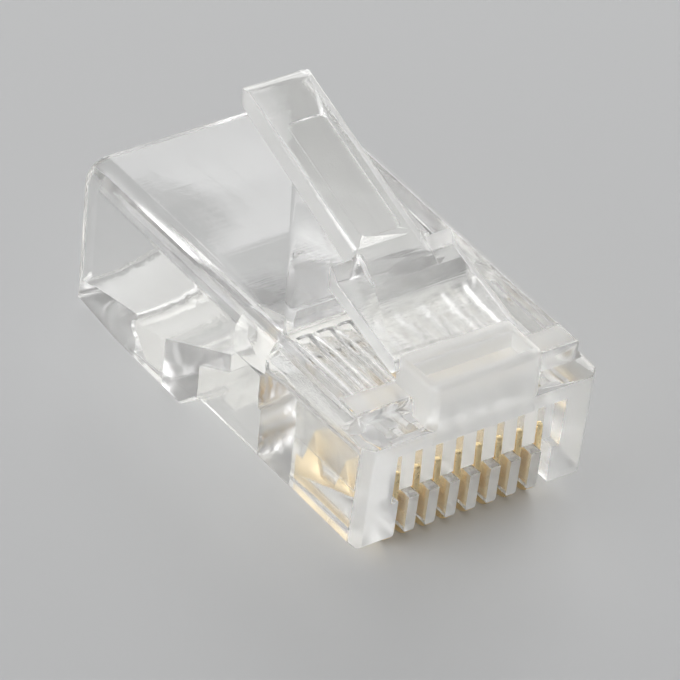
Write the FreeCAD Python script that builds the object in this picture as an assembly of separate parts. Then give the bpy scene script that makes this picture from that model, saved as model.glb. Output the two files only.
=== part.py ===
"""Eight-way modular plug for round data cable, as supplied, before it is crimped.

One clear moulding carries eight gold-plated blades in slots at the nose, a sprung latch on top,
a bar that folds in on the cable's jacket and a smaller bar that is pressed up on its conductors.

Frame: X across the plug, Y from the nose to the cable entry, Z up. The plug lies latch upwards on
the surface Z = 0, and the origin is at the middle of the footprint. Lengths are in millimetres.
A "setback" is a distance behind the nose's front edge.
"""
import FreeCAD, Part
import math
import os

# Overall sizes
PLUG_WIDTH = 11.68
PLUG_LENGTH = 21.46
TOP_HEIGHT = 7.35
NOSE_LIFT = 0.95           # the front section's underside stands this far off the surface

# Nose: a raked front face with a ledge over it
NOSE_RAKE = 0.35
NOSE_CHAMFER = 0.43
NOSE_TOE_RADIUS = 0.15     # along the foot of the front face
LEDGE_DEPTH = 1.20
LEDGE_FALL = 0.10          # the ledge slopes down this much to its front edge
UNDERSIDE_CHAMFER = 0.22

# Top: round along both long edges, with a lower shelf and a sunk bay behind the nose
TOP_EDGE_RADIUS = 1.10
STEP_RADIUS = 0.25
STEP_CORNER_RADIUS = 0.80   # the step's two upright corners
SHELF_DEPTH = 1.50
SHELF_DROP = 0.30
BAY_HALF_WIDTH = 5.20
BAY_END = 8.20
BAY_DROP = 0.85
BAY_CORNER_RADIUS = 1.30

# Rear section
REAR_SETBACK = 13.20       # the deeper rear section's underside starts here
HOOK_RUN = 1.20            # slope between the two undersides
HOOK_RADIUS = 0.40
REAR_RIM_RADIUS = 0.22
ENTRY_LIFT = 0.35          # the underside rises this much at the cable entry
ENTRY_LIFT_RUN = 3.20

# Cable space
SIDE_WALL = 1.00
ROOF_WALL = 1.00
ENTRY_FLOOR = 1.10         # height of the entry's floor at the rear face
ENTRY_SILL = 1.90          # height of the entry's floor at its inner end
ENTRY_FLARE = 0.30
ENTRY_FLARE_RUN = 0.60
RAMP_FOOT_HEIGHT = 2.05
RAMP_HEAD_HEIGHT = 4.30
RAMP_HEAD_SETBACK = 10.30
RAMP_WALL = 0.90
ROOF_RUN = 0.75            # slope from the roof down to the wire channels

# Wire channels
CHANNEL_DIAMETER = 0.90
CHANNEL_HEIGHT = 5.05
CHANNEL_START = 1.50
CHANNEL_END = 8.20
CHANNEL_LEAD = 1.30        # each channel opens out over this length at its rear
CHANNEL_LEAD_FLARE = 0.15
FUNNEL_RUN = 2.00          # the side walls close in over this length in front of the channels
FUNNEL_MARGIN = 0.10       # clear width outside the outermost channels
CHANNEL_FLOOR = 1.60       # wall under the channels where they overhang the recess

# Recess under the wire channels
RECESS_SETBACK = 7.95
RECESS_END = 12.50

# Contacts and their slots
CONTACT_COUNT = 8
CONTACT_PITCH = 1.02
CONTACT_THICKNESS = 0.30
CONTACT_SETBACK = 0.80     # front edge of the blade
CONTACT_REACH = 5.15       # length of the blade
CONTACT_NOSE_RADIUS = 0.95
CONTACT_BODY_HEIGHT = 2.10
CONTACT_TINE_HEIGHT = 3.82
CONTACT_LEG = 0.45         # length of the front leg
CONTACT_LEG_RADIUS = 0.18
CONTACT_HEEL = 0.35        # bevel at the rear of the contact edge
TINE_COUNT = 2
TINE_BASE = 1.30
CRIMP_TRAVEL = 1.45
SLOT_SIDE_CLEARANCE = 0.03
SLOT_END_CLEARANCE = 0.10
SLOT_TOP_CLEARANCE = 0.08
FINGER_SLOT_WIDTH = 0.52   # wider mouth for the spring wires of the jack
RIB_HEIGHT = 1.95          # of the ribs between the mouths, up to the front recess
RIB_FOOT_RADIUS = 0.22

# Front recess, in which the blades' front edges show above the ribs
FRONT_RECESS_DEPTH = 0.84
FRONT_RECESS_MARGIN = 0.63  # beyond the outermost contacts
FRONT_RECESS_TOP = 5.40

# Latch root block
BLOCK_WIDTH = 5.60
BLOCK_DEPTH = 2.60
BLOCK_RISE = 0.95          # above the top
BLOCK_CORNER_RADIUS = 0.45
BLOCK_EDGE_RADIUS = 0.25
BLOCK_POCKET_WALL = 0.36
BLOCK_POCKET_FRONT_WALL = 0.50
BLOCK_POCKET_LENGTH = 1.40
BLOCK_POCKET_DEPTH = 0.85

# Latch
LATCH_PIVOT_SETBACK = 2.75
LATCH_PIVOT_RISE = 0.55    # above the top
LATCH_WIDTH = 6.00
LATCH_THICKNESS = 0.74
LATCH_ANGLE = 14.3         # degrees, wide plate above horizontal
LATCH_SHOULDER_SETBACK = 7.40
SHOULDER_LENGTH = 0.60
SHOULDER_RISE = 0.36
LEVER_WIDTH = 3.25
LEVER_EDGE_RADIUS = 0.20   # along the top's two long edges
LEVER_FOOT_SETBACK = 6.10
LEVER_FOOT_RUN = 0.90
LEVER_FOOT_RISE = 0.42     # above the wide plate's top at the end of the foot
LEVER_ANGLE = 18.5         # degrees, lever's top above horizontal
LEVER_FLAT_END = 15.75      # the top face runs to here, then rounds off to the bottom
LEVER_TIP_THICKNESS = 0.95
LEVER_CORNER_RADIUS = 0.85
LEVER_ROOT_RADIUS = 0.30
PANEL_WIDTH = 1.90
PANEL_START = 8.05
PANEL_END = 14.05
PANEL_DEPTH = 0.12
PANEL_CORNER_RADIUS = 0.30
HINGE_CLEARANCE = 0.05     # radial, at every moulded hinge

# Jacket clamp
CLAMP_PIVOT_SETBACK = 17.30
CLAMP_PIVOT_HEIGHT = 1.15
CLAMP_ROOT_RADIUS = 0.35
CLAMP_REACH = 2.05
CLAMP_GAP = 0.15           # between the clamp's curved front and the bar before it
CLAMP_SIDE_CLEARANCE = 0.10
CLAMP_FOOT_HEIGHT = 0.05
CLAMP_TOP_START = 0.32     # above the pivot, where the bar's top leaves its root
CLAMP_CREST = 0.62         # above the pivot
CLAMP_CREST_SETBACK = 1.55  # in front of the pivot
CLAMP_HEEL = 0.75

# Wire clamp
WIRE_CLAMP_GAP = 0.12
WIRE_CLAMP_DROP = 0.10     # its top below the channels' floor
WIRE_CLAMP_HEAD_DEPTH = 1.78
WIRE_CLAMP_FOOT_START = 10.80
WIRE_CLAMP_FOOT_LENGTH = 0.85
WIRE_CLAMP_FOOT_BASE = 0.98
WIRE_CLAMP_FOOT_HEIGHT = 0.75
WIRE_CLAMP_FOOT_RADIUS = 0.18

CUT_MARGIN = 1.0           # how far a cutting tool runs past the face that it opens
TOLERANCE = 1e-4           # for telling whether an edge lies at a given place

NOSE_Y = -PLUG_LENGTH / 2
HALF_WIDTH = PLUG_WIDTH / 2
CAVITY_HALF = HALF_WIDTH - SIDE_WALL
ROOF_HEIGHT = TOP_HEIGHT - ROOF_WALL
CHANNEL_RADIUS = CHANNEL_DIAMETER / 2
CHANNEL_FLOOR_HEIGHT = CHANNEL_HEIGHT - CHANNEL_RADIUS
CONTACT_ROW_HALF = (CONTACT_COUNT - 1) * CONTACT_PITCH / 2
LEDGE_HEIGHT = TOP_HEIGHT - TOP_EDGE_RADIUS
CLAMP_BAR_SETBACK = CLAMP_PIVOT_SETBACK - CLAMP_REACH - CLAMP_GAP
LATCH_PIVOT_HEIGHT = TOP_HEIGHT + LATCH_PIVOT_RISE
LATCH_ROOT_RADIUS = LATCH_THICKNESS / 2


def point(x, setback, height):
    """A point from its distance across, its setback and its height."""
    return FreeCAD.Vector(x, NOSE_Y + setback, height)


def slab(x_low, x_high, setback_low, setback_high, z_low, z_high):
    """An upright box between two limits in each direction."""
    corner = point(x_low, setback_low, z_low)
    return Part.makeBox(x_high - x_low, setback_high - setback_low, z_high - z_low, corner)


def side_prism(profile, half_width):
    """A side profile of (setback, height) pairs, as wide as twice half_width."""
    outline = [point(-half_width, *corner) for corner in profile]
    wire = Part.makePolygon(outline + outline[:1])
    return Part.Face(wire).extrude(FreeCAD.Vector(2 * half_width, 0, 0))


def plan_prism(plan, z_low, z_high):
    """A plan outline of (x, setback) pairs between two heights."""
    outline = [point(x, setback, z_low) for x, setback in plan]
    wire = Part.makePolygon(outline + outline[:1])
    return Part.Face(wire).extrude(FreeCAD.Vector(0, 0, z_high - z_low))


def cross_rod(setback, height, radius, half_width):
    """A round bar along X."""
    start = point(-half_width, setback, height)
    return Part.makeCylinder(radius, 2 * half_width, start, FreeCAD.Vector(1, 0, 0))


def edges_at(shape, x=None, setback=None, height=None):
    """The shape's edges that lie wholly at each coordinate given; x is taken either side."""
    picked = []
    for edge in shape.Edges:
        box = edge.BoundBox
        at_x = x is None or (box.XLength < TOLERANCE and abs(abs(box.XMin) - x) < TOLERANCE)
        at_y = setback is None or all(abs(v - NOSE_Y - setback) < TOLERANCE for v in (box.YMin, box.YMax))
        at_z = height is None or all(abs(v - height) < TOLERANCE for v in (box.ZMin, box.ZMax))
        if at_x and at_y and at_z:
            picked.append(edge)
    return picked


def contact_positions():
    """The contacts' places across the plug, from left to right."""
    return [index * CONTACT_PITCH - CONTACT_ROW_HALF for index in range(CONTACT_COUNT)]


def line_height(start, slope_degrees, setback):
    """Height at a setback of the straight line through start at the given slope."""
    return start[1] + (setback - start[0]) * math.tan(math.radians(slope_degrees))


# Housing ---------------------------------------------------------------------------------------

def nose():
    """The raked, corner-chamfered front end below the ledge."""
    profile = [
        (NOSE_RAKE, NOSE_LIFT),
        (0, LEDGE_HEIGHT - LEDGE_FALL),
        (LEDGE_DEPTH, LEDGE_HEIGHT),
        (LEDGE_DEPTH, NOSE_LIFT),
    ]
    body = side_prism(profile, HALF_WIDTH)
    upright = [e for e in body.Edges if raked_edge(e)]
    body = body.makeChamfer(NOSE_CHAMFER, upright)
    return body.makeFillet(NOSE_TOE_RADIUS, edges_at(body, setback=NOSE_RAKE, height=NOSE_LIFT))


def raked_edge(edge):
    """True for the two upright edges of the raked front face."""
    box = edge.BoundBox
    at_front = abs(box.YMin - NOSE_Y) < TOLERANCE
    at_foot = abs(box.ZMin - NOSE_LIFT) < TOLERANCE
    return at_front and at_foot and box.XLength < TOLERANCE


def main_section():
    """The round-topped body behind the ledge, deeper where it takes the cable's jacket."""
    lift_start = PLUG_LENGTH - ENTRY_LIFT_RUN
    profile = [
        (LEDGE_DEPTH, TOP_HEIGHT),
        (PLUG_LENGTH, TOP_HEIGHT),
        (PLUG_LENGTH, ENTRY_LIFT),
        (lift_start, 0),
        (REAR_SETBACK, 0),
        (REAR_SETBACK - HOOK_RUN, NOSE_LIFT),
        (LEDGE_DEPTH, NOSE_LIFT),
    ]
    body = side_prism(profile, HALF_WIDTH)
    body = body.makeFillet(TOP_EDGE_RADIUS, edges_at(body, x=HALF_WIDTH, height=TOP_HEIGHT))
    body = body.makeFillet(HOOK_RADIUS, edges_at(body, setback=REAR_SETBACK, height=0))
    return body.makeFillet(REAR_RIM_RADIUS, edges_at(body, setback=PLUG_LENGTH))


def step_corners():
    """What is taken off the step over the ledge to round its two upright corners."""
    radius = STEP_CORNER_RADIUS
    height = TOP_HEIGHT - LEDGE_HEIGHT + CUT_MARGIN
    up = FreeCAD.Vector(0, 0, 1)
    corners = []
    for side in (-1, 1):
        inner = side * (HALF_WIDTH - radius)
        outer = side * (HALF_WIDTH + CUT_MARGIN)
        corner = slab(min(inner, outer), max(inner, outer), LEDGE_DEPTH - CUT_MARGIN,
                      LEDGE_DEPTH + radius, LEDGE_HEIGHT, TOP_HEIGHT + CUT_MARGIN)
        round_part = Part.makeCylinder(radius, height, point(inner, LEDGE_DEPTH + radius, LEDGE_HEIGHT), up)
        corners.append(corner.cut(round_part))
    return corners


def shelf_cut():
    """What is taken off the top to leave the shelf, with its front edge rounded."""
    shelf = TOP_HEIGHT - SHELF_DROP
    over = slab(-HALF_WIDTH, HALF_WIDTH, LEDGE_DEPTH - CUT_MARGIN, LEDGE_DEPTH + SHELF_DEPTH,
                shelf, TOP_HEIGHT + CUT_MARGIN)
    radius = STEP_RADIUS
    edge = slab(-HALF_WIDTH, HALF_WIDTH, LEDGE_DEPTH, LEDGE_DEPTH + radius, shelf - radius, shelf)
    return over.fuse(edge.cut(cross_rod(LEDGE_DEPTH + radius, shelf - radius, radius, HALF_WIDTH)))


def top_bay():
    """The sunk bay in the top between the two side rails."""
    half = BAY_HALF_WIDTH
    start = LEDGE_DEPTH + SHELF_DEPTH
    bay = slab(-half, half, start, BAY_END, TOP_HEIGHT - BAY_DROP, TOP_HEIGHT + CUT_MARGIN)
    return bay.makeFillet(BAY_CORNER_RADIUS, edges_at(bay, x=half, setback=BAY_END))


def underside_chamfers():
    """Wedges that bevel the front section's two long bottom edges."""
    wedges = []
    for side in (-1, 1):
        outline = [
            point(side * (HALF_WIDTH - UNDERSIDE_CHAMFER), -CUT_MARGIN, NOSE_LIFT),
            point(side * HALF_WIDTH, -CUT_MARGIN, NOSE_LIFT + UNDERSIDE_CHAMFER),
            point(side * HALF_WIDTH, -CUT_MARGIN, NOSE_LIFT),
        ]
        wire = Part.makePolygon(outline + outline[:1])
        run = REAR_SETBACK - HOOK_RUN + CUT_MARGIN
        wedges.append(Part.Face(wire).extrude(FreeCAD.Vector(0, run, 0)))
    return wedges


def latch_block():
    """The upright block at the nose from which the latch springs."""
    half = BLOCK_WIDTH / 2
    height = TOP_HEIGHT + BLOCK_RISE
    block = slab(-half, half, 0, BLOCK_DEPTH, FRONT_RECESS_TOP, height)
    block = block.makeFillet(BLOCK_CORNER_RADIUS, edges_at(block, x=half, setback=0))
    block = block.makeFillet(BLOCK_EDGE_RADIUS, edges_at(block, setback=0, height=height))
    pocket_half = half - BLOCK_POCKET_WALL
    pocket_end = BLOCK_POCKET_FRONT_WALL + BLOCK_POCKET_LENGTH
    floor = height - BLOCK_POCKET_DEPTH
    pocket = slab(-pocket_half, pocket_half, BLOCK_POCKET_FRONT_WALL, pocket_end, floor, height + CUT_MARGIN)
    seat = cross_rod(LATCH_PIVOT_SETBACK, LATCH_PIVOT_HEIGHT, LATCH_ROOT_RADIUS + HINGE_CLEARANCE,
                     half + CUT_MARGIN)
    return block.cut([pocket, seat])


def cable_space():
    """The room for the jacket, and the funnel that leads the wires to their channels."""
    channel_top = CHANNEL_HEIGHT + CHANNEL_RADIUS
    outside = PLUG_LENGTH + CUT_MARGIN
    fall = (ENTRY_SILL - ENTRY_FLOOR) / (PLUG_LENGTH - CLAMP_PIVOT_SETBACK)
    profile = [
        (outside, ENTRY_FLOOR - fall * CUT_MARGIN),
        (CLAMP_PIVOT_SETBACK, ENTRY_SILL),
        (CLAMP_BAR_SETBACK, RAMP_FOOT_HEIGHT),
        (RAMP_HEAD_SETBACK, RAMP_HEAD_HEIGHT),
        (RAMP_HEAD_SETBACK, CHANNEL_FLOOR_HEIGHT),
        (CHANNEL_END, CHANNEL_FLOOR_HEIGHT),
        (CHANNEL_END, channel_top),
        (CHANNEL_END + ROOF_RUN, ROOF_HEIGHT),
        (outside, ROOF_HEIGHT),
    ]
    funnel_half = CONTACT_ROW_HALF + CHANNEL_RADIUS + FUNNEL_MARGIN
    funnel_end = CHANNEL_END + FUNNEL_RUN
    plan = [
        (-funnel_half, CHANNEL_END),
        (-CAVITY_HALF, funnel_end),
        (-CAVITY_HALF, outside),
        (CAVITY_HALF, outside),
        (CAVITY_HALF, funnel_end),
        (funnel_half, CHANNEL_END),
    ]
    room = side_prism(profile, HALF_WIDTH)
    return room.common(plan_prism(plan, -CUT_MARGIN, TOP_HEIGHT))


def entry_flare():
    """The bevelled mouth of the cable entry."""
    def frame(setback, growth):
        corners = [
            point(-CAVITY_HALF - growth, setback, ENTRY_FLOOR),
            point(CAVITY_HALF + growth, setback, ENTRY_FLOOR),
            point(CAVITY_HALF + growth, setback, ROOF_HEIGHT + growth),
            point(-CAVITY_HALF - growth, setback, ROOF_HEIGHT + growth),
        ]
        return Part.makePolygon(corners + corners[:1])
    overrun = ENTRY_FLARE * CUT_MARGIN / ENTRY_FLARE_RUN
    inner = frame(PLUG_LENGTH - ENTRY_FLARE_RUN, 0)
    outer = frame(PLUG_LENGTH + CUT_MARGIN, ENTRY_FLARE + overrun)
    return Part.makeLoft([inner, outer], True, True)


def clamp_window():
    """The opening in the underside that the jacket clamp swings through, with its hinge seat."""
    window = slab(-CAVITY_HALF, CAVITY_HALF, CLAMP_BAR_SETBACK, CLAMP_PIVOT_SETBACK,
                  -CUT_MARGIN, max(ENTRY_SILL, RAMP_FOOT_HEIGHT) + CUT_MARGIN)
    seat = cross_rod(CLAMP_PIVOT_SETBACK, CLAMP_PIVOT_HEIGHT, CLAMP_ROOT_RADIUS + HINGE_CLEARANCE,
                     CAVITY_HALF)
    return window.fuse(seat)


def wire_recess():
    """The recess in the underside behind the contacts, open to the wires above the wire clamp."""
    slope = (RAMP_HEAD_HEIGHT - RAMP_FOOT_HEIGHT) / (CLAMP_BAR_SETBACK - RAMP_HEAD_SETBACK)
    under_head = RAMP_HEAD_HEIGHT - RAMP_WALL
    under_bar = under_head - slope * (RECESS_END - RAMP_HEAD_SETBACK)
    overhang = CHANNEL_FLOOR_HEIGHT - CHANNEL_FLOOR
    profile = [
        (RECESS_SETBACK, -CUT_MARGIN),
        (RECESS_SETBACK, overhang),
        (CHANNEL_END, overhang),
        (CHANNEL_END, CHANNEL_FLOOR_HEIGHT),
        (RAMP_HEAD_SETBACK, CHANNEL_FLOOR_HEIGHT),
        (RAMP_HEAD_SETBACK, under_head),
        (RECESS_END, under_bar),
        (RECESS_END, -CUT_MARGIN),
    ]
    return side_prism(profile, CAVITY_HALF)


def wire_channels():
    """One round channel over each contact, with a tapered lead-in from the cable space."""
    length = CHANNEL_END - CHANNEL_START + ROOF_RUN
    lead_start = CHANNEL_END - CHANNEL_LEAD
    wide = CHANNEL_RADIUS + CHANNEL_LEAD_FLARE
    back = FreeCAD.Vector(0, 1, 0)
    channels = []
    for x in contact_positions():
        bore = Part.makeCylinder(CHANNEL_RADIUS, length, point(x, CHANNEL_START, CHANNEL_HEIGHT), back)
        lead = Part.makeCone(CHANNEL_RADIUS, wide, CHANNEL_LEAD, point(x, lead_start, CHANNEL_HEIGHT), back)
        channels += [bore, lead]
    return channels


def slot_side(x, side):
    """One side of a slot's cross-section from its top to below the rounded foot of the rib."""
    close = x + side * (CONTACT_THICKNESS / 2 + SLOT_SIDE_CLEARANCE)
    wide = x + side * FINGER_SLOT_WIDTH / 2
    radius = RIB_FOOT_RADIUS
    inset = radius * (1 - math.sqrt(0.5))
    top = CONTACT_TINE_HEIGHT + CRIMP_TRAVEL + SLOT_TOP_CLEARANCE
    mouth_top = NOSE_LIFT + RIB_HEIGHT
    start = -CUT_MARGIN
    spots = [(close, top), (close, mouth_top), (wide, mouth_top), (wide, NOSE_LIFT + radius)]
    corners = [point(across, start, height) for across, height in spots]
    foot = point(wide + side * radius, start, NOSE_LIFT)
    below = point(wide + side * radius, start, -CUT_MARGIN)
    arc_middle = point(wide + side * inset, start, NOSE_LIFT + inset)
    edges = [Part.makeLine(first, second) for first, second in zip(corners, corners[1:])]
    edges.append(Part.Arc(corners[-1], arc_middle, foot).toShape())
    edges.append(Part.makeLine(foot, below))
    return edges, corners[0], below


def contact_slot(x):
    """A close slot for the blade, with a wider mouth below for the jack's spring wire."""
    left, left_top, left_end = slot_side(x, -1)
    right, right_top, right_end = slot_side(x, 1)
    edges = left + right + [Part.makeLine(left_top, right_top), Part.makeLine(left_end, right_end)]
    end = CONTACT_SETBACK + CONTACT_REACH + SLOT_END_CLEARANCE
    section = Part.Face(Part.Wire(Part.__sortEdges__(edges)))
    return section.extrude(FreeCAD.Vector(0, end + CUT_MARGIN, 0))


def front_recess():
    """The recess across the nose, over the ribs, that bares the blades' front edges."""
    half = CONTACT_ROW_HALF + FRONT_RECESS_MARGIN
    return slab(-half, half, -CUT_MARGIN, FRONT_RECESS_DEPTH, NOSE_LIFT + RIB_HEIGHT, FRONT_RECESS_TOP)


def make_housing():
    """The clear moulding without its three flexing members."""
    body = nose().fuse(main_section())
    body = body.cut(underside_chamfers())
    body = body.cut([shelf_cut(), top_bay()] + step_corners())
    body = body.cut(cable_space())
    body = body.cut([entry_flare(), clamp_window(), wire_recess()])
    body = body.cut(wire_channels())
    body = body.cut(front_recess())
    body = body.cut([contact_slot(x) for x in contact_positions()])
    return body.fuse(latch_block()).removeSplitter()


# Latch -----------------------------------------------------------------------------------------

def plate_line(offset):
    """The wide plate's centre line moved up by offset, as a point for line_height."""
    rise = offset / math.cos(math.radians(LATCH_ANGLE))
    return (LATCH_PIVOT_SETBACK, LATCH_PIVOT_HEIGHT + rise)


def latch_plate():
    """The wide plate from the hinge to the shoulders."""
    half_thick = LATCH_THICKNESS / 2
    slope = math.radians(LATCH_ANGLE)
    lean = half_thick * math.sin(slope)
    drop = half_thick * math.cos(slope)
    end = LATCH_SHOULDER_SETBACK
    profile = [
        (LATCH_PIVOT_SETBACK - lean, LATCH_PIVOT_HEIGHT + drop),
        (end, line_height(plate_line(half_thick), LATCH_ANGLE, end)),
        (end, line_height(plate_line(-half_thick), LATCH_ANGLE, end)),
        (LATCH_PIVOT_SETBACK + lean, LATCH_PIVOT_HEIGHT - drop),
    ]
    half = LATCH_WIDTH / 2
    root = cross_rod(LATCH_PIVOT_SETBACK, LATCH_PIVOT_HEIGHT, LATCH_ROOT_RADIUS, half)
    return side_prism(profile, half).fuse(root)


def latch_shoulders():
    """The raised stops that catch behind the jack's edges."""
    half_thick = LATCH_THICKNESS / 2
    start = LATCH_SHOULDER_SETBACK - SHOULDER_LENGTH
    end = LATCH_SHOULDER_SETBACK
    top = plate_line(half_thick)
    bottom = plate_line(-half_thick)
    profile = [
        (start, line_height(top, LATCH_ANGLE, start)),
        (end, line_height(top, LATCH_ANGLE, end) + SHOULDER_RISE),
        (end, line_height(bottom, LATCH_ANGLE, end)),
        (start, line_height(bottom, LATCH_ANGLE, start)),
    ]
    return side_prism(profile, LATCH_WIDTH / 2)


def lever_top():
    """The start of the lever's top face, as (setback, height)."""
    start = LEVER_FOOT_SETBACK + LEVER_FOOT_RUN
    plate_top = line_height(plate_line(LATCH_THICKNESS / 2), LATCH_ANGLE, start)
    return (start, plate_top + LEVER_FOOT_RISE)


def lever_tip():
    """The quarter round at the tip by its start, middle and end, as (setback, height) pairs."""
    radius = LEVER_TIP_THICKNESS
    inset = radius * (1 - math.sqrt(0.5))
    start = (LEVER_FLAT_END, line_height(lever_top(), LEVER_ANGLE, LEVER_FLAT_END))
    slope = math.radians(LEVER_ANGLE)

    def spot(forward, down):
        return (start[0] + forward * math.cos(slope) + down * math.sin(slope),
                start[1] + forward * math.sin(slope) - down * math.cos(slope))
    return start, spot(radius - inset, inset), spot(radius, radius)


def lever_block(half_width):
    """The lever's side profile, from its foot on the wide plate to its tip, drawn across."""
    half_thick = LATCH_THICKNESS / 2
    foot = LEVER_FOOT_SETBACK
    shoulder = LATCH_SHOULDER_SETBACK
    tip_start, tip_middle, tip_end = lever_tip()
    over = [(foot, line_height(plate_line(half_thick), LATCH_ANGLE, foot)), lever_top(), tip_start]
    under = [
        tip_end,
        (shoulder, line_height(plate_line(-half_thick), LATCH_ANGLE, shoulder)),
        (foot, line_height(plate_line(-half_thick), LATCH_ANGLE, foot)),
        over[0],
    ]
    over = [point(-half_width, *corner) for corner in over]
    under = [point(-half_width, *corner) for corner in under]
    edges = [Part.makeLine(first, second) for first, second in zip(over, over[1:])]
    edges.append(Part.Arc(over[-1], point(-half_width, *tip_middle), under[0]).toShape())
    edges += [Part.makeLine(first, second) for first, second in zip(under, under[1:])]
    return Part.Face(Part.Wire(edges)).extrude(FreeCAD.Vector(2 * half_width, 0, 0))


def lever_section():
    """A bar along the lever with its two long top edges rounded."""
    half = LEVER_WIDTH / 2
    depth = PLUG_LENGTH
    bar = Part.makeBox(LEVER_WIDTH, 2 * PLUG_LENGTH, depth, FreeCAD.Vector(-half, -PLUG_LENGTH, -depth))
    long_edges = [e for e in bar.Edges if e.BoundBox.YLength > PLUG_LENGTH and e.BoundBox.ZMin > -depth / 2]
    bar = bar.makeFillet(LEVER_EDGE_RADIUS, long_edges)
    bar.rotate(FreeCAD.Vector(0, 0, 0), FreeCAD.Vector(1, 0, 0), LEVER_ANGLE)
    bar.translate(point(0, *lever_top()))
    return bar


def lever_plan():
    """The lever's plan outline as an upright block with rounded corners at the tip."""
    half = LEVER_WIDTH / 2
    tip = lever_tip()[2][0]
    block = slab(-half, half, LEVER_FOOT_SETBACK, tip, 0, TOP_HEIGHT + PLUG_LENGTH)
    return block.makeFillet(LEVER_CORNER_RADIUS, edges_at(block, x=half, setback=tip))


def latch_lever():
    """The narrow lever that a finger presses."""
    lever = lever_block(LEVER_WIDTH / 2)
    return lever.common(lever_section()).common(lever_plan())


def lever_gussets():
    """The hollow curves that ease the lever into the shoulders' rear faces."""
    radius = LEVER_ROOT_RADIUS
    reach = LEVER_WIDTH / 2 + radius
    start = LATCH_SHOULDER_SETBACK
    high = TOP_HEIGHT + PLUG_LENGTH
    strip = slab(-reach, reach, start, start + radius, 0, high)
    up = FreeCAD.Vector(0, 0, 1)
    hollows = [Part.makeCylinder(radius, high, point(x, start + radius, 0), up) for x in (-reach, reach)]
    return lever_block(reach).common(strip).cut(hollows)


def lever_panel():
    """The shallow round-cornered sinking along the lever's top face."""
    half = PANEL_WIDTH / 2
    slope = math.radians(LEVER_ANGLE)
    length = (PANEL_END - PANEL_START) / math.cos(slope)
    panel = Part.makeBox(PANEL_WIDTH, length, PANEL_DEPTH + CUT_MARGIN,
                         FreeCAD.Vector(-half, 0, -PANEL_DEPTH))
    upright = [e for e in panel.Edges if e.BoundBox.ZLength > PANEL_DEPTH]
    panel = panel.makeFillet(PANEL_CORNER_RADIUS, upright)
    panel.rotate(FreeCAD.Vector(0, 0, 0), FreeCAD.Vector(1, 0, 0), LEVER_ANGLE)
    panel.translate(point(0, PANEL_START, line_height(lever_top(), LEVER_ANGLE, PANEL_START)))
    return panel


def make_latch():
    """The latch: wide plate, stops and lever in one piece."""
    body = latch_plate().fuse([latch_shoulders(), latch_lever(), lever_gussets()])
    return body.removeSplitter().cut(lever_panel())


# Contacts --------------------------------------------------------------------------------------

def contact_outline():
    """The blade's side profile: contact edge below, front leg and piercing tines above."""
    front = CONTACT_SETBACK
    rear = front + CONTACT_REACH
    leg_end = front + CONTACT_LEG
    radius = CONTACT_NOSE_RADIUS
    nose_mid = point(0, front + radius * (1 - math.sqrt(0.5)), radius * (1 - math.sqrt(0.5)))
    tip = CONTACT_LEG_RADIUS
    top = CONTACT_TINE_HEIGHT
    tip_mid = point(0, front + tip * (1 - math.sqrt(0.5)), top - tip * (1 - math.sqrt(0.5)))
    edges = [
        Part.Arc(point(0, front + radius, 0), nose_mid, point(0, front, radius)).toShape(),
        Part.makeLine(point(0, front, radius), point(0, front, top - tip)),
        Part.Arc(point(0, front, top - tip), tip_mid, point(0, front + tip, top)).toShape(),
    ]
    corners = [(front + tip, top), (leg_end, top - tip), (leg_end + tip, CONTACT_BODY_HEIGHT)]
    room = (rear - leg_end - tip) / TINE_COUNT
    for index in range(TINE_COUNT):
        middle = leg_end + tip + room * (index + 0.5)
        corners.append((middle - TINE_BASE / 2, CONTACT_BODY_HEIGHT))
        corners.append((middle, top))
        corners.append((middle + TINE_BASE / 2, CONTACT_BODY_HEIGHT))
    corners += [(rear, CONTACT_BODY_HEIGHT), (rear, CONTACT_HEEL), (rear - CONTACT_HEEL, 0)]
    corners.append((front + radius, 0))
    spots = [point(0, *corner) for corner in corners]
    edges += [Part.makeLine(start, end) for start, end in zip(spots, spots[1:])]
    return Part.Wire(edges)


def make_contact(x):
    """One gold-plated blade, standing proud as it does before crimping."""
    blade = Part.Face(contact_outline()).extrude(FreeCAD.Vector(CONTACT_THICKNESS, 0, 0))
    blade.translate(FreeCAD.Vector(x - CONTACT_THICKNESS / 2, 0, 0))
    return blade


# Clamps ----------------------------------------------------------------------------------------

def make_jacket_clamp():
    """The bar that folds up about its rear edge and grips the cable's jacket."""
    half = CAVITY_HALF - CLAMP_SIDE_CLEARANCE
    pivot = (CLAMP_PIVOT_SETBACK, CLAMP_PIVOT_HEIGHT)
    root = CLAMP_ROOT_RADIUS
    foot = CLAMP_FOOT_HEIGHT
    profile = [
        (pivot[0] - root, pivot[1] + CLAMP_TOP_START),
        (pivot[0] - CLAMP_CREST_SETBACK, pivot[1] + CLAMP_CREST),
        (pivot[0] - 2 * CLAMP_REACH, pivot[1] + CLAMP_CREST),
        (pivot[0] - 2 * CLAMP_REACH, foot),
        (pivot[0] - CLAMP_HEEL, foot),
        (pivot[0], pivot[1] - root),
        (pivot[0], pivot[1]),
    ]
    bar = side_prism(profile, half)
    sweep = cross_rod(*pivot, CLAMP_REACH, half)
    return bar.common(sweep).fuse(cross_rod(*pivot, root, half)).removeSplitter()


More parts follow.
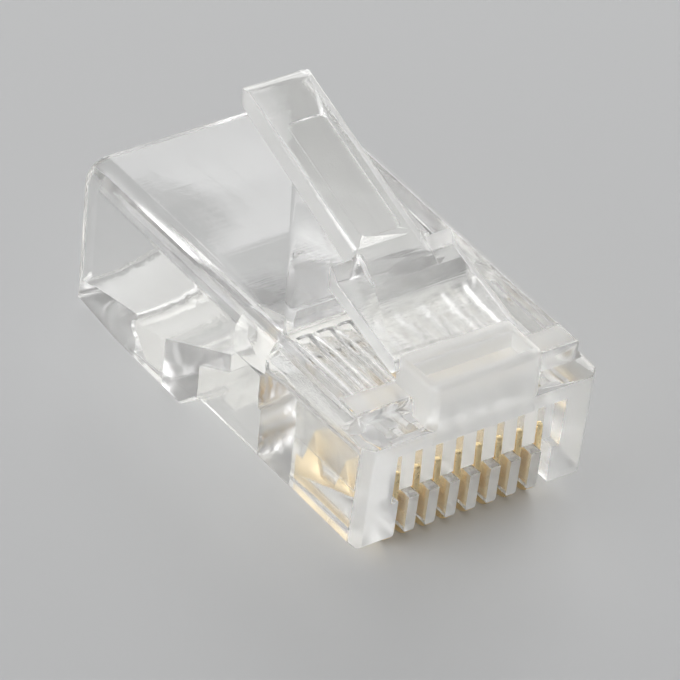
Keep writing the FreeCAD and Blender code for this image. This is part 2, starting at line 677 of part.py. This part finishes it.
def make_wire_clamp():
    """The footed bar that is pressed up to hold the separate wires."""
    front = CHANNEL_END + WIRE_CLAMP_GAP
    rear = RAMP_HEAD_SETBACK - WIRE_CLAMP_GAP
    front_top = CHANNEL_FLOOR_HEIGHT - WIRE_CLAMP_DROP
    rear_top = RAMP_HEAD_HEIGHT - WIRE_CLAMP_DROP
    toe = WIRE_CLAMP_FOOT_START
    heel = WIRE_CLAMP_FOOT_START + WIRE_CLAMP_FOOT_LENGTH
    base = WIRE_CLAMP_FOOT_BASE
    instep = base + WIRE_CLAMP_FOOT_HEIGHT
    profile = [
        (front, front_top),
        (rear, rear_top),
        (rear, rear_top - WIRE_CLAMP_HEAD_DEPTH),
        (heel, instep),
        (heel, base),
        (toe, base),
        (toe, instep),
        (front, front_top - WIRE_CLAMP_HEAD_DEPTH),
    ]
    funnel_half = CONTACT_ROW_HALF + CHANNEL_RADIUS + FUNNEL_MARGIN
    bar = side_prism(profile, funnel_half - WIRE_CLAMP_GAP)
    sole = edges_at(bar, setback=toe, height=base) + edges_at(bar, setback=heel, height=base)
    return bar.makeFillet(WIRE_CLAMP_FOOT_RADIUS, sole)


def build():
    """Every node's solid, by name."""
    nodes = {
        "housing": make_housing(),
        "latch": make_latch(),
        "jacket_clamp": make_jacket_clamp(),
        "wire_clamp": make_wire_clamp(),
    }
    for number, x in enumerate(contact_positions(), start=1):
        nodes["contact_%d" % number] = make_contact(x)
    return nodes


def main():
    os.makedirs("parts", exist_ok=True)
    for name, shape in build().items():
        shape.exportStep("parts/%s.step" % name)
        solids = len(shape.Solids)
        print("%-14s solids %d  volume %8.3f mm3  valid %s" % (name, solids, shape.Volume, shape.isValid()))


main()
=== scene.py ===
"""Dresses the clear modular plug: rounded, polished mouldings, gold blades and a small studio."""

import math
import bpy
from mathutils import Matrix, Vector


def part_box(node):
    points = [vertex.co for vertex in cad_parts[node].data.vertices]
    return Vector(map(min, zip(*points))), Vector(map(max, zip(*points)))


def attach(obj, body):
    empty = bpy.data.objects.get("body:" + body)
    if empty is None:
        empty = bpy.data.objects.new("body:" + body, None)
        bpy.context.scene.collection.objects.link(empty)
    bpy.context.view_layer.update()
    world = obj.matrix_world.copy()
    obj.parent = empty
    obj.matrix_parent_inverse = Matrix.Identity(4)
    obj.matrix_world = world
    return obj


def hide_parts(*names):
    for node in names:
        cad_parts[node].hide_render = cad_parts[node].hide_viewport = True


bl_info = {
    "name": "Clear Modular Plug",
    "version": (1, 0, 0),
    "blender": (4, 5, 0),
    "location": "3D View > Sidebar > Plug",
    "description": "Dresses a clear eight-way modular plug and sets a small studio around it",
    "category": "Object",
}

import bmesh
import bpy
from bpy.props import FloatProperty, FloatVectorProperty, PointerProperty
from mathutils import Matrix, Vector

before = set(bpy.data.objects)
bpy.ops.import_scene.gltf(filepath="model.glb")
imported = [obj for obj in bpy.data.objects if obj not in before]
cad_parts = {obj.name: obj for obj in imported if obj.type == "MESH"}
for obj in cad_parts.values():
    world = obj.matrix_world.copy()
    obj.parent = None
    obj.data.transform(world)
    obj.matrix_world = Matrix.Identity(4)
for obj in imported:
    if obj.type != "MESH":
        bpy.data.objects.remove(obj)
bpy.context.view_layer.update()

MM = 0.001
BLADES = sorted(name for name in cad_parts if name.startswith("contact_"))
HOUSING_LOW, HOUSING_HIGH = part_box("housing")
BLADE_ROW_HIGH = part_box(BLADES[-1])[1]

# Meshes
WELD_GAP = 0.0001 * MM          # corners nearer than this are one vertex
FLAT_TURN = math.radians(0.5)   # faces that turn less than this are one face
SMOOTH_TURN = math.radians(28)  # edges that turn less than this are shaded smooth

# Edges that are rolled over: how far they turn, and how long they are at least
MOULDED_TURN = math.radians(30)
STAMPED_TURN = math.radians(40)
HOUSING_SHORTEST = 0.3 * MM
LATCH_SHORTEST = 0.2 * MM
SIDE_BAND = 1.2 * MM            # the housing's edges are rolled this near its sides
TOP_BAND = 6.2 * MM             # and above this height
COMB_TOP = 1.0 * MM             # the comb under the nose lies below this height
COMB_END = 1.0 * MM             # and in front of this y

# Where the housing's finish changes; a setback runs back from the nose's front face
NOSE_SETBACK = 1.0 * MM
BLOCK_HALF_WIDTH = 2.85 * MM
BLOCK_SETBACK = 2.7 * MM
BLOCK_BASE = 5.35 * MM
HOOK_SETBACKS = (11.5 * MM, 13.6 * MM)
HOOK_TOP = 1.2 * MM
SLOT_MARGIN = Vector((0.58, 0.25, 1.58)) * MM  # slots' reach past the blades: sideways, back, up

# How squarely a face looks one way, as the cosine of its lean, to get that side's finish
NOSE_FACING = 0.5
SLOT_FACING = 0.5
LATCH_SIDE_FACING = 0.6
LATCH_BACK_FACING = 0.7

# How fine the surface effects are, in noise cells to the metre
PATCH_CELLS = 260.0
STREAK_CELLS = 1500.0
RUB_CELLS = 9000.0
MELT_CELLS = 420.0
CUTTER_CELLS = 5200.0
PLATING_CELLS = 1400.0
CLOUD_RANGE = (0.19, 0.40)      # the noise's values between which a surface goes from bright to dull
RUB_RANGE = (0.60, 0.74)        # and from no rub mark to a full one

# Depths and colours that the materials share
RUB_DEPTH = 0.002 * MM
GRAIN_DEPTH = 0.004 * MM
WORN_GOLD = 0.72                      # brightness of rubbed plating, as a share of the gold's
LAMP_LIGHT = (0.955, 0.953, 0.945)    # what a clear wall lets through of a lamp's light

# Studio
FLOOR_REACH = 2.0               # half the floor's side, in metres
FLOOR_DROP = 0.01 * MM          # the floor lies this far under the blades' noses
SENSOR_WIDTH = 36.0             # of the camera, in mm
NEAREST, FARTHEST = 0.01, 20.0  # what the camera can see lies between these distances
LAMP_AIM = Vector((0.0, 0.0, 5 * MM))
LAMPS = (                       # name, width and length in metres, place in metres, watts
    ("overhead_softbox", (0.30, 0.30), (0.0, 0.0, 0.35), 0.28),
    ("left_softbox", (0.30, 0.24), (-0.30, 0.10, 0.13), 0.50),
    ("rear_softbox", (0.40, 0.24), (0.24, 0.27, 0.14), 0.66),
    ("front_softbox", (0.36, 0.20), (-0.17, -0.31, 0.11), 0.56),
)
BOUNCES = {                     # enough for light to leave through every wall of the plug
    "max_bounces": 18,
    "transmission_bounces": 18,
    "glossy_bounces": 12,
    "transparent_max_bounces": 40,
}


# Sizes and colours that a user would change ----------------------------------------------------

class PlasticSettings(bpy.types.PropertyGroup):
    """The clear moulding."""
    tint: FloatVectorProperty(
        name="Tint", description="Colour that the clear plastic gives to light passing through",
        subtype="COLOR", size=3, min=0.0, max=1.0, default=(0.958, 0.957, 0.948))
    index: FloatProperty(
        name="Refraction", description="Index of refraction of polycarbonate",
        min=1.0, max=2.0, default=1.585)
    edge_round: FloatProperty(
        name="Edge Rounding", description="Radius on the outer edges of the moulding",
        unit="LENGTH", min=0.0, default=0.07 * MM)
    haze: FloatProperty(
        name="Haze", description="Roughness of the polished faces where handling has dulled them",
        subtype="FACTOR", min=0.0, max=1.0, default=0.18)
    frost: FloatProperty(
        name="Frost", description="Roughness of the milky nose, latch block, clamps and latch sides",
        subtype="FACTOR", min=0.0, max=1.0, default=0.34)
    slot_frost: FloatProperty(
        name="Slot Frost", description="Roughness of the walls of the blades' slots",
        subtype="FACTOR", min=0.0, max=1.0, default=0.22)


class BladeSettings(bpy.types.PropertyGroup):
    """The gold-plated blades."""
    gold: FloatVectorProperty(
        name="Gold", description="Colour of the plating",
        subtype="COLOR", size=3, min=0.0, max=1.0, default=(0.97, 0.79, 0.48))
    edge_round: FloatProperty(
        name="Edge Rounding", description="Radius that stamping leaves along the blade's edges",
        unit="LENGTH", min=0.0, default=0.035 * MM)


class StudioSettings(bpy.types.PropertyGroup):
    """Floor, lamps and camera."""
    floor: FloatVectorProperty(
        name="Floor", description="Colour of the pale floor",
        subtype="COLOR", size=3, min=0.0, max=1.0, default=(0.53, 0.535, 0.54))
    surround: FloatProperty(
        name="Surround", description="Brightness of the room around the floor",
        min=0.0, max=2.0, default=0.25)
    azimuth: FloatProperty(
        name="Azimuth", description="Camera's turn round the plug", subtype="ANGLE",
        default=math.radians(-37.0))
    elevation: FloatProperty(
        name="Elevation", description="Camera's height over the plug", subtype="ANGLE",
        default=math.radians(35.96))
    roll: FloatProperty(
        name="Roll", description="Camera's lean about its own line of sight", subtype="ANGLE",
        default=math.radians(5.35))
    distance: FloatProperty(
        name="Distance", description="Camera's distance from its aim", unit="LENGTH",
        default=274.04 * MM)
    aim: FloatVectorProperty(
        name="Aim", description="Point that the camera looks at", subtype="XYZ", size=3,
        default=(-0.359 * MM, -0.959 * MM, 3.646 * MM))
    lens: FloatProperty(
        name="Lens", description="Focal length on a 36 mm sensor, in mm", default=347.6)


# Meshes ----------------------------------------------------------------------------------------

def new_piece(name, mesh_maker):
    """A new object in the scene whose mesh is made by mesh_maker(bm)."""
    mesh = bpy.data.meshes.new(name)
    bm = bmesh.new()
    mesh_maker(bm)
    bm.to_mesh(mesh)
    bm.free()
    piece = bpy.data.objects.new(name, mesh)
    bpy.context.scene.collection.objects.link(piece)
    return piece


def weld_faces(bm, source):
    """Fills bm with the solid's mesh, its triangles joined into whole faces."""
    bm.from_mesh(source)
    bmesh.ops.remove_doubles(bm, verts=bm.verts, dist=WELD_GAP)
    bmesh.ops.dissolve_limit(bm, angle_limit=FLAT_TURN, verts=bm.verts, edges=bm.edges)


def apply_modifiers(piece):
    """Turns a piece's modifiers into its mesh."""
    graph = bpy.context.evaluated_depsgraph_get()
    shaped = bpy.data.meshes.new_from_object(piece.evaluated_get(graph))
    piece.modifiers.clear()
    piece.data = shaped


def rounded_solid(node, name, radius, is_rounded, segments=3):
    """The node's solid with the edges that is_rounded(edge) picks rolled over to the radius."""
    def make(bm):
        weld_faces(bm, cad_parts[node].data)
        weight = bm.edges.layers.float.new("bevel_weight_edge")
        for edge in bm.edges:
            edge[weight] = 1.0 if is_rounded(edge) else 0.0
    piece = new_piece(name, make)
    bevel = piece.modifiers.new("Rounding", "BEVEL")
    bevel.limit_method = "WEIGHT"
    bevel.width = radius
    bevel.segments = segments
    bevel.use_clamp_overlap = False
    bevel.miter_outer = "MITER_ARC"
    apply_modifiers(piece)
    piece.data.shade_smooth()
    piece.data.set_sharp_from_angle(angle=SMOOTH_TURN)
    return piece


def edge_turn(edge):
    """How far an edge turns, in radians; hollow edges count as negative."""
    if len(edge.link_faces) != 2:
        return 0.0
    return edge.calc_face_angle_signed(0.0)


def sharp_edges(turn, shortest=0.0):
    """A test for edges that turn further than an angle and are longer than a length."""
    return lambda edge: edge_turn(edge) > turn and edge.calc_length() > shortest


def on_outside(edge):
    """True on the housing's outer edges, but not on the comb that the slots leave under its nose."""
    if edge_turn(edge) < MOULDED_TURN or edge.calc_length() < HOUSING_SHORTEST:
        return False
    ends = [vertex.co for vertex in edge.verts]
    if max(end.z for end in ends) < COMB_TOP and ends[0].y < COMB_END:
        return False
    return all(abs(end.x) > HOUSING_HIGH.x - SIDE_BAND or end.z > TOP_BAND for end in ends)


# Shader groups ---------------------------------------------------------------------------------

def fill(tree, node, given):
    """Sets a node's sockets to plain values, or links them where another node's output is given."""
    for socket, value in given.items():
        if isinstance(value, bpy.types.NodeSocket):
            tree.links.new(value, node.inputs[socket])
        else:
            node.inputs[socket].default_value = value


def place(tree, kind, given=None, **settings):
    """A new node of that kind with its properties set and its sockets filled."""
    node = tree.nodes.new(kind)
    for key, value in settings.items():
        setattr(node, key, value)
    fill(tree, node, given or {})
    return node


def shared(store, name, maker, **given):
    """The material or group of that name, made the first time it is asked for."""
    return store.get(name) or maker(name, **given)


def shader_group(name, inputs, outputs):
    """A new group of nodes with those numbers in and out, and its input and output nodes."""
    group = bpy.data.node_groups.new(name, "ShaderNodeTree")
    for label, default in inputs.items():
        socket = group.interface.new_socket(label, in_out="INPUT", socket_type="NodeSocketFloat")
        socket.default_value = default
    for label in outputs:
        group.interface.new_socket(label, in_out="OUTPUT", socket_type="NodeSocketFloat")
    return group, group.nodes.new("NodeGroupInput"), group.nodes.new("NodeGroupOutput")


def noise(group, cells, given, stretch=(1.0, 1.0, 1.0), turn=(0.0, 0.0, 0.0)):
    """Noise with that many cells to the metre, turned, and drawn out along its axes by the stretch."""
    position = place(group, "ShaderNodeTexCoord").outputs["Object"]
    drawn_out = place(group, "ShaderNodeMapping", {
        "Vector": position, "Rotation": turn, "Scale": stretch}, vector_type="TEXTURE")
    texture = place(group, "ShaderNodeTexNoise", {
        "Vector": drawn_out.outputs["Vector"], "Scale": cells, **given})
    return texture.outputs["Fac"]


def handling_haze_group(name):
    """Uneven dullness from handling: cloudy patches with lengthwise streaks, and fine rub marks."""
    group, given, result = shader_group(
        name, {"Polished": 0.02, "Dulled": 0.1, "Patch Scale": PATCH_CELLS}, ("Roughness", "Rub"))
    patches = noise(group, given.outputs["Patch Scale"], {"Detail": 5.0, "Roughness": 0.65})
    streaks = noise(group, STREAK_CELLS, {"Detail": 4.0}, stretch=(1.0, 14.0, 2.0))
    both = place(group, "ShaderNodeMath", {0: patches, 1: streaks}, operation="MULTIPLY")
    roughness = place(group, "ShaderNodeMapRange", {
        "Value": both.outputs["Value"], "From Min": CLOUD_RANGE[0], "From Max": CLOUD_RANGE[1],
        "To Min": given.outputs["Polished"], "To Max": given.outputs["Dulled"]})
    rubs = noise(group, RUB_CELLS, {"Detail": 3.0}, stretch=(1.0, 12.0, 1.0), turn=(0.3, 0.2, 0.5))
    rub = place(group, "ShaderNodeMapRange", {
        "Value": rubs, "From Min": RUB_RANGE[0], "From Max": RUB_RANGE[1]})
    fill(group, result, {"Roughness": roughness.outputs["Result"], "Rub": rub.outputs["Result"]})
    return group


def melt_flow_group(name):
    """Slow waves that the melt leaves in a moulding as it fills from the cable end."""
    group, given, result = shader_group(name, {"Scale": MELT_CELLS}, ("Height",))
    waves = noise(group, given.outputs["Scale"], {"Detail": 2.0, "Distortion": 0.6},
                  stretch=(1.0, 5.0, 1.0))
    fill(group, result, {"Height": waves})
    return group


def tool_marks_group(name):
    """Fine lines across the plug that the cutter left in the mould."""
    group, given, result = shader_group(name, {"Scale": CUTTER_CELLS}, ("Height",))
    lines = noise(group, given.outputs["Scale"], {"Detail": 3.0, "Roughness": 0.6},
                  stretch=(30.0, 1.0, 1.0))
    fill(group, result, {"Height": lines})
    return group


# Materials -------------------------------------------------------------------------------------

def new_material(name):
    """A new material with nodes, and its tree."""
    material = bpy.data.materials.new(name)
    material.use_nodes = True
    return material, material.node_tree


def effect(tree, name, maker, values=None):
    """A shared group placed in a material, with its own values."""
    return place(tree, "ShaderNodeGroup", values, node_tree=shared(bpy.data.node_groups, name, maker))


def bumped(tree, height, depth, below=None, strength=1.0, **settings):
    """The normal of a surface that the height raises by the depth, over the normal below it."""
    given = {"Height": height, "Distance": depth, "Strength": strength}
    if below:
        given["Normal"] = below
    return place(tree, "ShaderNodeBump", given, **settings).outputs["Normal"]


def clear_plastic(name, polished, dulled, flow_depth, mark_depth, clarity):
    """Clear polycarbonate that lets the lamps' light through to what is inside.

    Its roughness goes from polished to dulled. The melt's waves and the cutter's lines have their
    own depths, and clarity is the share of the light that goes through instead of scattering.
    """
    settings = bpy.context.scene.plug_plastic
    material, tree = new_material(name)
    tree.nodes.clear()
    haze = effect(tree, "Handling Haze", handling_haze_group, {"Polished": polished, "Dulled": dulled})
    flow = effect(tree, "Melt Flow", melt_flow_group)
    marks = effect(tree, "Tool Marks", tool_marks_group)
    waved = bumped(tree, flow.outputs["Height"], flow_depth)
    lined = bumped(tree, marks.outputs["Height"], mark_depth, below=waved)
    rubbed = bumped(tree, haze.outputs["Rub"], RUB_DEPTH, below=lined, strength=0.25, invert=True)
    plastic = place(tree, "ShaderNodeBsdfPrincipled", {
        "Base Color": (*settings.tint, 1.0), "Metallic": 0.0, "Roughness": haze.outputs["Roughness"],
        "IOR": settings.index, "Transmission Weight": clarity, "Normal": rubbed})
    lamp_light = place(tree, "ShaderNodeBsdfTransparent", {"Color": (*LAMP_LIGHT, 1.0)})
    path = place(tree, "ShaderNodeLightPath")
    mix = place(tree, "ShaderNodeMixShader", {
        "Fac": path.outputs["Is Shadow Ray"],
        1: plastic.outputs["BSDF"],
        2: lamp_light.outputs["BSDF"]})
    place(tree, "ShaderNodeOutputMaterial", {"Surface": mix.outputs["Shader"]})
    return material


def moulding_plastic():
    """Polished clear plastic with slow waves from the melt and faint lines from the cutter."""
    return shared(
        bpy.data.materials, "clear_moulding", clear_plastic,
        polished=0.015, dulled=bpy.context.scene.plug_plastic.haze,
        flow_depth=0.020 * MM, mark_depth=0.003 * MM, clarity=0.96)


def latch_plastic():
    """Clear plastic with the cutter's lines across it."""
    return shared(
        bpy.data.materials, "lined_moulding", clear_plastic,
        polished=0.03, dulled=bpy.context.scene.plug_plastic.haze,
        flow_depth=0.004 * MM, mark_depth=0.010 * MM, clarity=0.92)


def frosted_plastic():
    """The milky finish that a spark-eroded mould leaves."""
    frost = bpy.context.scene.plug_plastic.frost
    return shared(
        bpy.data.materials, "frosted_moulding", clear_plastic,
        polished=frost, dulled=1.15 * frost, flow_depth=0.003 * MM, mark_depth=0.0, clarity=0.82)


def slot_plastic():
    """The fainter bloom on the walls of the blades' slots."""
    frost = bpy.context.scene.plug_plastic.slot_frost
    return shared(
        bpy.data.materials, "slot_moulding", clear_plastic,
        polished=frost, dulled=1.2 * frost, flow_depth=0.003 * MM, mark_depth=0.0, clarity=0.93)


def gold_plate(name):
    """Bright gold plating with the fine grain of the stamped strip below it."""
    gold = bpy.context.scene.plug_blades.gold
    material, tree = new_material(name)
    haze = effect(tree, "Handling Haze", handling_haze_group, {
        "Polished": 0.26, "Dulled": 0.46, "Patch Scale": PLATING_CELLS})
    tone = place(tree, "ShaderNodeMix", {
        "Factor": haze.outputs["Rub"],
        "A": (*gold, 1.0),
        "B": (*(WORN_GOLD * channel for channel in gold), 1.0)}, data_type="RGBA")
    fill(tree, tree.nodes["Principled BSDF"], {
        "Base Color": tone.outputs["Result"], "Metallic": 1.0, "Roughness": haze.outputs["Roughness"],
        "Normal": bumped(tree, haze.outputs["Rub"], GRAIN_DEPTH, strength=0.3)})
    return material


def floor_material(name):
    """A pale, faintly glossy board."""
    material, tree = new_material(name)
    fill(tree, tree.nodes["Principled BSDF"], {
        "Base Color": (*bpy.context.scene.plug_studio.floor, 1.0),
        "Roughness": 0.35, "Specular IOR Level": 0.35})
    return material


def dress(piece, material, body, slot, *nodes):
    """Gives a piece its finish, its body and the solids that it stands for."""
    piece.data.materials.clear()
    piece.data.materials.append(material)
    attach(piece, body)
    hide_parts(*nodes)


def setback(face):
    """How far a face lies behind the nose's front."""
    return face.center.y - HOUSING_LOW.y


def on_eroded_insert(face):
    """True on the front faces, the latch block and the hook under the cable's end."""
    front = face.normal.y < -NOSE_FACING and setback(face) < NOSE_SETBACK
    block = (abs(face.center.x) < BLOCK_HALF_WIDTH and setback(face) < BLOCK_SETBACK
             and face.center.z > BLOCK_BASE)
    hook = HOOK_SETBACKS[0] < setback(face) < HOOK_SETBACKS[1] and face.center.z < HOOK_TOP
    return front or block or hook


def on_slot_wall(face):
    """True on the walls of the blades' slots."""
    reach = BLADE_ROW_HIGH + SLOT_MARGIN
    in_row = abs(face.center.x) < reach.x and face.center.y < reach.y and face.center.z < reach.z
    return in_row and abs(face.normal.x) > SLOT_FACING


def on_latch_rim(face):
    """True on the latch's sides and on its faces that look back."""
    return abs(face.normal.x) > LATCH_SIDE_FACING or face.normal.y > LATCH_BACK_FACING


def finish_faces(piece, material, is_picked):
    """Gives the material to the faces that is_picked(face) picks."""
    piece.data.materials.append(material)
    index = len(piece.data.materials) - 1
    for face in piece.data.polygons:
        if is_picked(face):
            face.material_index = index


# Pieces ----------------------------------------------------------------------------------------

class PLUG_OT_housing(bpy.types.Operator):
    """Make the clear housing with rolled outer edges"""
    bl_idname = "plug.housing"
    bl_label = "Housing"

    def execute(self, context):
        radius = context.scene.plug_plastic.edge_round
        piece = rounded_solid("housing", "clear_housing", radius, on_outside)
        dress(piece, moulding_plastic(), "housing", "clear_plastic", "housing")
        finish_faces(piece, frosted_plastic(), on_eroded_insert)
        finish_faces(piece, slot_plastic(), on_slot_wall)
        return {"FINISHED"}


class PLUG_OT_latch(bpy.types.Operator):
    """Make the sprung latch with rolled edges"""
    bl_idname = "plug.latch"
    bl_label = "Latch"

    def execute(self, context):
        radius = context.scene.plug_plastic.edge_round
        piece = rounded_solid("latch", "clear_latch", radius, sharp_edges(MOULDED_TURN, LATCH_SHORTEST))
        dress(piece, latch_plastic(), "latch", "clear_plastic", "latch")
        finish_faces(piece, frosted_plastic(), on_latch_rim)
        return {"FINISHED"}


class PLUG_OT_clamps(bpy.types.Operator):
    """Make the bars that fold in on the jacket and on the wires"""
    bl_idname = "plug.clamps"
    bl_label = "Clamps"

    def execute(self, context):
        radius = context.scene.plug_plastic.edge_round
        for node in ("jacket_clamp", "wire_clamp"):
            piece = rounded_solid(node, "clear_" + node, radius, sharp_edges(MOULDED_TURN))
            dress(piece, frosted_plastic(), node, "clear_plastic", node)
        return {"FINISHED"}


class PLUG_OT_blades(bpy.types.Operator):
    """Make the gold blades with softly rolled edges"""
    bl_idname = "plug.blades"
    bl_label = "Blades"

    def execute(self, context):
        radius = context.scene.plug_blades.edge_round
        for node in BLADES:
            piece = rounded_solid(node, "gold_" + node, radius, sharp_edges(STAMPED_TURN), segments=2)
            gold = shared(bpy.data.materials, "gold_plate", gold_plate)
            dress(piece, gold, node, "gold_contact", node)
        return {"FINISHED"}


# Studio ----------------------------------------------------------------------------------------

def lay_floor():
    """The pale board that the plug stands on."""
    floor = new_piece("floor", lambda bm: bmesh.ops.create_grid(
        bm, x_segments=1, y_segments=1, size=FLOOR_REACH))
    floor.location.z = -FLOOR_DROP
    floor.data.materials.append(floor_material("pale_floor"))


def softbox(name, size, stand, power):
    """A rectangular soft lamp at its stand, turned to the plug."""
    lamp = bpy.data.lights.new(name, "AREA")
    lamp.shape = "RECTANGLE"
    lamp.size, lamp.size_y = size
    lamp.energy = power
    holder = bpy.data.objects.new(name, lamp)
    holder.location = stand
    holder.rotation_euler = (LAMP_AIM - Vector(stand)).to_track_quat("-Z", "Y").to_euler()
    bpy.context.scene.collection.objects.link(holder)


def light_surround(strength):
    """A plain white room round the floor."""
    world = bpy.data.worlds.new("surround")
    world.use_nodes = True
    fill(world.node_tree, world.node_tree.nodes["Background"], {
        "Color": (1.0, 1.0, 1.0, 1.0), "Strength": strength})
    bpy.context.scene.world = world


def camera_matrix(settings):
    """The camera's place and turn from its aim, angles, roll and distance."""
    level = math.cos(settings.elevation)
    ahead = Vector((-math.sin(settings.azimuth) * level, math.cos(settings.azimuth) * level,
                    -math.sin(settings.elevation)))
    side = ahead.cross(Vector((0, 0, 1))).normalized()
    above = side.cross(ahead)
    right = side * math.cos(settings.roll) + above * math.sin(settings.roll)
    up = above * math.cos(settings.roll) - side * math.sin(settings.roll)
    turn = Matrix((right, up, -ahead)).transposed().to_4x4()
    return Matrix.Translation(Vector(settings.aim) - ahead * settings.distance) @ turn


def set_camera(settings):
    """The camera in its place, made the scene's own."""
    lens = bpy.data.cameras.new("camera")
    lens.lens = settings.lens
    lens.sensor_width = SENSOR_WIDTH
    lens.clip_start, lens.clip_end = NEAREST, FARTHEST
    camera = bpy.data.objects.new("camera", lens)
    camera.matrix_world = camera_matrix(settings)
    bpy.context.scene.collection.objects.link(camera)
    bpy.context.scene.camera = camera


class PLUG_OT_studio(bpy.types.Operator):
    """Set the pale floor, the soft lamps and the camera"""
    bl_idname = "plug.studio"
    bl_label = "Studio"

    def execute(self, context):
        settings = context.scene.plug_studio
        lay_floor()
        for lamp in LAMPS:
            softbox(*lamp)
        light_surround(settings.surround)
        set_camera(settings)
        context.scene.view_settings.view_transform = "Standard"
        for kind, count in BOUNCES.items():
            setattr(context.scene.cycles, kind, count)
        return {"FINISHED"}


# Panel and registration ------------------------------------------------------------------------

STEPS = (PLUG_OT_housing, PLUG_OT_latch, PLUG_OT_clamps, PLUG_OT_blades, PLUG_OT_studio)


class PLUG_PT_steps(bpy.types.Panel):
    """Lists the plug's pieces and the studio."""
    bl_label = "Modular Plug"
    bl_idname = "PLUG_PT_steps"
    bl_space_type = "VIEW_3D"
    bl_region_type = "UI"
    bl_category = "Plug"

    def draw(self, context):
        column = self.layout.column(align=True)
        for step in STEPS:
            column.operator(step.bl_idname)


GROUPS = {"plug_plastic": PlasticSettings, "plug_blades": BladeSettings, "plug_studio": StudioSettings}


def register():
    for group in GROUPS.values():
        bpy.utils.register_class(group)
    for name, group in GROUPS.items():
        setattr(bpy.types.Scene, name, PointerProperty(type=group))
    for step in STEPS:
        bpy.utils.register_class(step)
    bpy.utils.register_class(PLUG_PT_steps)


def unregister():
    bpy.utils.unregister_class(PLUG_PT_steps)
    for step in reversed(STEPS):
        bpy.utils.unregister_class(step)
    for name in GROUPS:
        delattr(bpy.types.Scene, name)
    for group in GROUPS.values():
        bpy.utils.unregister_class(group)


def main():
    register()
    bpy.ops.plug.housing()
    bpy.ops.plug.latch()
    bpy.ops.plug.clamps()
    bpy.ops.plug.blades()
    bpy.ops.plug.studio()


if __name__ == "__main__":
    main()
